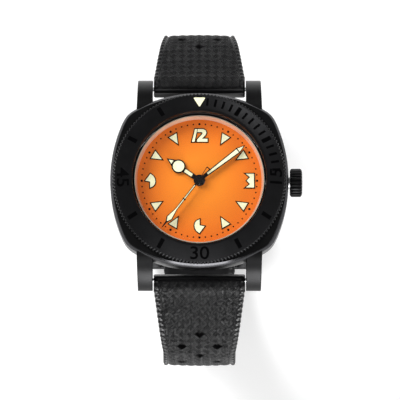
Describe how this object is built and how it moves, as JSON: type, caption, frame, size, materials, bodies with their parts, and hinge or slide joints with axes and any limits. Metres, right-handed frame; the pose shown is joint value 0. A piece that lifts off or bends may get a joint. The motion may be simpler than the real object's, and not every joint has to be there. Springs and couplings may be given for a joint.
{
  "type": "dive watch",
  "caption": "Cushion-shaped dive watch with a turning timing bezel, domed crystal, orange dial, automatic movement and a buckled black rubber strap.",
  "frame": {"origin": "centre of the case back's outer flat face", "axes": "+Z out through the dial, +Y to twelve o'clock, +X to the crown"},
  "size_m": [0.0412, 0.072, 0.0584],
  "materials": {
    "black_steel": "black coated steel, satin",
    "steel": "brushed",
    "black_buckle": "black coated steel, satin",
    "brass": "gilt",
    "hands": "black edged metal filled with cream lume",
    "dial": "orange lacquer with printed marks",
    "lume": "cream lume",
    "crystal": "polished sapphire",
    "rubber": "matt black rubber with a woven relief",
    "seal": "matt"
  },
  "bodies": {
    "case": {"case_middle": "black_steel", "case_back": "black_steel", "case_back_gasket": "seal", "crystal": "crystal", "crystal_gasket": "seal", "inner_flange_ring": "steel", "dial": "dial", "bezel_click_spring": "steel", "crown_tube": "steel", "movement_ring": "steel", "mainplate": "brass", "train_bridge": "steel", "balance_cock": "steel", "rotor_bearing": "steel", "crown_wheel_screw": "steel", "hairspring": "steel", "spring_bar_12": "steel", "spring_bar_6": "steel", "strap_tail": "rubber"},
    "bezel_ring": {"bezel": "black_steel", "bezel_lume_triangle": "lume"},
    "keyless": {"winding_pinion": "steel", "sliding_pinion": "steel"},
    "crown_and_stem": {"crown": "black_steel", "crown_gasket": "seal", "winding_stem": "steel"},
    "crown_wheel": {"crown_wheel": "steel"},
    "ratchet": {"ratchet_wheel": "steel", "barrel_arbor": "steel"},
    "barrel": {"barrel_drum": "brass", "mainspring": "steel"},
    "centre": {"centre_wheel": "brass"},
    "third": {"third_wheel": "brass"},
    "seconds": {"fourth_wheel": "brass", "second_hand": "hands"},
    "escape": {"escape_wheel": "steel"},
    "pallet": {"pallet_fork": "steel"},
    "balance": {"balance_wheel": "brass"},
    "minutes": {"cannon_pinion": "steel", "minute_hand": "hands"},
    "minute_reduction": {"minute_wheel": "brass"},
    "hours": {"hour_wheel": "brass", "hour_hand": "hands"},
    "winding_rotor": {"rotor": "steel"},
    "strap_12": {"strap_buckle_side": "rubber", "spring_bar_buckle": "steel", "keeper_fixed": "rubber"},
    "buckle": {"buckle_frame": "black_buckle"},
    "tang": {"buckle_tang": "black_buckle"},
    "loose_keeper": {"keeper_free": "rubber"},
    "tip_12_left": {"bar_tip_12_left": "steel"},
    "tip_12_right": {"bar_tip_12_right": "steel"},
    "tip_6_left": {"bar_tip_6_left": "steel"},
    "tip_6_right": {"bar_tip_6_right": "steel"}
  },
  "joints": [
    {"name": "bezel_turn", "type": "hinge", "parent": "case", "child": "bezel_ring", "pos_m": [0, 0, 0], "axis": [0, 0, 1], "continuous": true},
    {"name": "crown_turn", "type": "hinge", "parent": "case", "child": "keyless", "pos_m": [0, 0, 0.0049], "axis": [1, 0, 0], "continuous": true},
    {"name": "crown_pull", "type": "slide", "parent": "keyless", "child": "crown_and_stem", "axis": [1, 0, 0], "range_m": [0, 0.0018]},
    {"name": "crown_wheel_turn", "type": "hinge", "parent": "case", "child": "crown_wheel", "pos_m": [0.00605, 0, 0], "axis": [0, 0, 1], "continuous": true},
    {"name": "ratchet_turn", "type": "hinge", "parent": "case", "child": "ratchet", "pos_m": [0.0032, 0.00496, 0], "axis": [0, 0, 1], "continuous": true},
    {"name": "barrel_turn", "type": "hinge", "parent": "case", "child": "barrel", "pos_m": [0.0032, 0.00496, 0], "axis": [0, 0, 1], "continuous": true},
    {"name": "centre_turn", "type": "hinge", "parent": "case", "child": "centre", "pos_m": [0, 0, 0], "axis": [0, 0, 1], "continuous": true},
    {"name": "third_turn", "type": "hinge", "parent": "case", "child": "third", "pos_m": [-0.00544, 0.00254, 0], "axis": [0, 0, 1], "continuous": true},
    {"name": "seconds_train", "type": "hinge", "parent": "case", "child": "seconds", "pos_m": [0, 0, 0], "axis": [0, 0, 1], "continuous": true},
    {"name": "escape_turn", "type": "hinge", "parent": "case", "child": "escape", "pos_m": [0.00155, -0.0058, 0], "axis": [0, 0, 1], "continuous": true},
    {"name": "pallet_rock", "type": "hinge", "parent": "case", "child": "pallet", "pos_m": [-0.00135, -0.00633, 0], "axis": [0, 0, 1], "range_deg": [-5, 5]},
    {"name": "balance_swing", "type": "hinge", "parent": "case", "child": "balance", "pos_m": [-0.0045, -0.0069, 0], "axis": [0, 0, 1], "range_deg": [-140, 140], "stiffness_Nm_per_rad": 0.00000011},
    {"name": "hand_setting", "type": "hinge", "parent": "case", "child": "minutes", "pos_m": [0, 0, 0], "axis": [0, 0, 1], "continuous": true},
    {"name": "minute_wheel_turn", "type": "hinge", "parent": "case", "child": "minute_reduction", "pos_m": [0.00312, -0.0018, 0], "axis": [0, 0, 1], "continuous": true},
    {"name": "hour_turn", "type": "hinge", "parent": "case", "child": "hours", "pos_m": [0, 0, 0], "axis": [0, 0, 1], "continuous": true},
    {"name": "rotor_turn", "type": "hinge", "parent": "case", "child": "winding_rotor", "pos_m": [0, 0, 0], "axis": [0, 0, 1], "continuous": true},
    {"name": "strap_flex", "type": "hinge", "parent": "case", "child": "strap_12", "pos_m": [0, 0.0209, 0.0029], "axis": [1, 0, 0], "range_deg": [-2, 4], "stiffness_Nm_per_rad": 1, "deforming": ["strap_tail"]},
    {"name": "buckle_hinge", "type": "hinge", "parent": "strap_12", "child": "buckle", "pos_m": [0, -0.001, -0.03936], "axis": [1, 0, 0], "range_deg": [0, 50]},
    {"name": "tang_hinge", "type": "hinge", "parent": "buckle", "child": "tang", "pos_m": [0, -0.001, -0.03936], "axis": [1, 0, 0], "range_deg": [0, 10]},
    {"name": "keeper_slide", "type": "slide", "parent": "strap_12", "child": "loose_keeper", "axis": [0, -0.9229, -0.385], "range_m": [-0.0006, 0.0006]},
    {"name": "bar_tip_12_left_press", "type": "slide", "parent": "case", "child": "tip_12_left", "axis": [1, 0, 0], "range_m": [0, 0.0015], "stiffness_N_per_m": 200, "springref_m": -0.001},
    {"name": "bar_tip_12_right_press", "type": "slide", "parent": "case", "child": "tip_12_right", "axis": [-1, 0, 0], "range_m": [0, 0.0015], "stiffness_N_per_m": 200, "springref_m": -0.001},
    {"name": "bar_tip_6_left_press", "type": "slide", "parent": "case", "child": "tip_6_left", "axis": [1, 0, 0], "range_m": [0, 0.0015], "stiffness_N_per_m": 200, "springref_m": -0.001},
    {"name": "bar_tip_6_right_press", "type": "slide", "parent": "case", "child": "tip_6_right", "axis": [-1, 0, 0], "range_m": [0, 0.0015], "stiffness_N_per_m": 200, "springref_m": -0.001}
  ],
  "couplings": [
    {"joint": "crown_wheel_turn", "follows": "crown_turn", "ratio": 0.38462},
    {"joint": "ratchet_turn", "follows": "crown_turn", "ratio": -0.38462},
    {"joint": "third_turn", "follows": "seconds_train", "ratio": -0.13333},
    {"joint": "centre_turn", "follows": "seconds_train", "ratio": 0.016667},
    {"joint": "barrel_turn", "follows": "seconds_train", "ratio": -0.0027778},
    {"joint": "escape_turn", "follows": "seconds_train", "ratio": -10},
    {"joint": "minute_wheel_turn", "follows": "hand_setting", "ratio": -0.33333},
    {"joint": "hour_turn", "follows": "hand_setting", "ratio": 0.083333}
  ]
}
